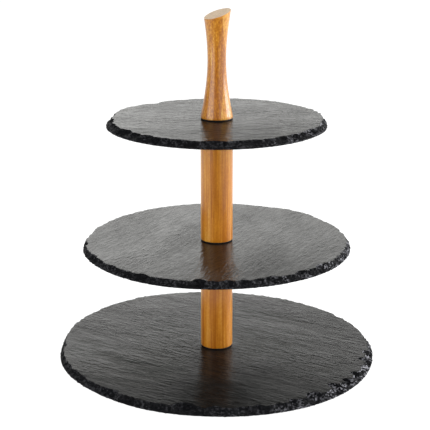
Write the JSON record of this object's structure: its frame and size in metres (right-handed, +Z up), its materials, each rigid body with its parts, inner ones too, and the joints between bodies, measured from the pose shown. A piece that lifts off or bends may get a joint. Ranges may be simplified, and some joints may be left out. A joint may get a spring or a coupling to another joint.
{
  "type": "tiered cake stand",
  "caption": "Tiered cake stand: round slate plates with chipped edges, graded in size, clamped on a screwed round bamboo column with a waisted handle on top.",
  "frame": {"origin": "on the table at the centre of the four feet, under the column's axis", "axes": "+Z up the column to the handle, -Y towards the viewer's side, +X to the viewer's right, the side on which the handle's top is higher"},
  "size_m": [0.3, 0.3, 0.333],
  "materials": {
    "slate": "natural riven slate, oiled, semi-gloss",
    "post_bamboo": "laminated bamboo, oiled, satin",
    "handle_bamboo": "turned laminated bamboo, varnished",
    "ring_rubber": "matte black rubber",
    "foot_rubber": "matte black rubber",
    "brass": "machined brass",
    "steel": "zinc-plated steel"
  },
  "bodies": {
    "base": {"bottom_plate": "slate", "base_screw": "steel", "base_washer": "steel", "base_washer_gasket": "ring_rubber", "foot_front_left": "foot_rubber", "foot_front_right": "foot_rubber", "foot_back_left": "foot_rubber", "foot_back_right": "foot_rubber"},
    "lower_post_ring": {"lower_post_gasket": "ring_rubber"},
    "lower_column": {"lower_post": "post_bamboo", "lower_post_insert": "brass", "lower_post_stud": "steel", "middle_plate_seat_gasket": "ring_rubber"},
    "middle_tier": {"middle_plate": "slate"},
    "upper_post_ring": {"upper_post_gasket": "ring_rubber"},
    "upper_column": {"upper_post": "post_bamboo", "upper_post_insert": "brass", "upper_post_stud": "steel", "top_plate_seat_gasket": "ring_rubber"},
    "top_tier": {"top_plate": "slate"},
    "handle_ring": {"handle_gasket": "ring_rubber"},
    "grip": {"handle": "handle_bamboo", "handle_insert": "brass"}
  },
  "joints": [
    {"name": "lower_post_turn", "type": "hinge", "parent": "base", "child": "lower_post_ring", "pos_m": [0, 0, 0.012], "axis": [0, 0, 1], "range_deg": [0, 3960]},
    {"name": "lower_post_rise", "type": "slide", "parent": "lower_post_ring", "child": "lower_column", "axis": [0, 0, 1], "range_m": [0, 0.011]},
    {"name": "middle_plate_swivel", "type": "hinge", "parent": "lower_column", "child": "middle_tier", "pos_m": [0, 0, 0.111], "axis": [0, 0, 1], "continuous": true},
    {"name": "upper_post_turn", "type": "hinge", "parent": "lower_column", "child": "upper_post_ring", "pos_m": [0, 0, 0.118], "axis": [0, 0, 1], "range_deg": [0, 3960]},
    {"name": "upper_post_rise", "type": "slide", "parent": "upper_post_ring", "child": "upper_column", "axis": [0, 0, 1], "range_m": [0, 0.011]},
    {"name": "top_plate_swivel", "type": "hinge", "parent": "upper_column", "child": "top_tier", "pos_m": [0, 0, 0.227], "axis": [0, 0, 1], "continuous": true},
    {"name": "handle_turn", "type": "hinge", "parent": "upper_column", "child": "handle_ring", "pos_m": [0, 0, 0.234], "axis": [0, 0, 1], "range_deg": [0, 3960]},
    {"name": "handle_rise", "type": "slide", "parent": "handle_ring", "child": "grip", "axis": [0, 0, 1], "range_m": [0, 0.011]}
  ],
  "couplings": [
    {"joint": "lower_post_turn", "follows": "lower_post_rise", "rad_per_m": 6283.2},
    {"joint": "upper_post_turn", "follows": "upper_post_rise", "rad_per_m": 6283.2},
    {"joint": "handle_turn", "follows": "handle_rise", "rad_per_m": 6283.2}
  ]
}
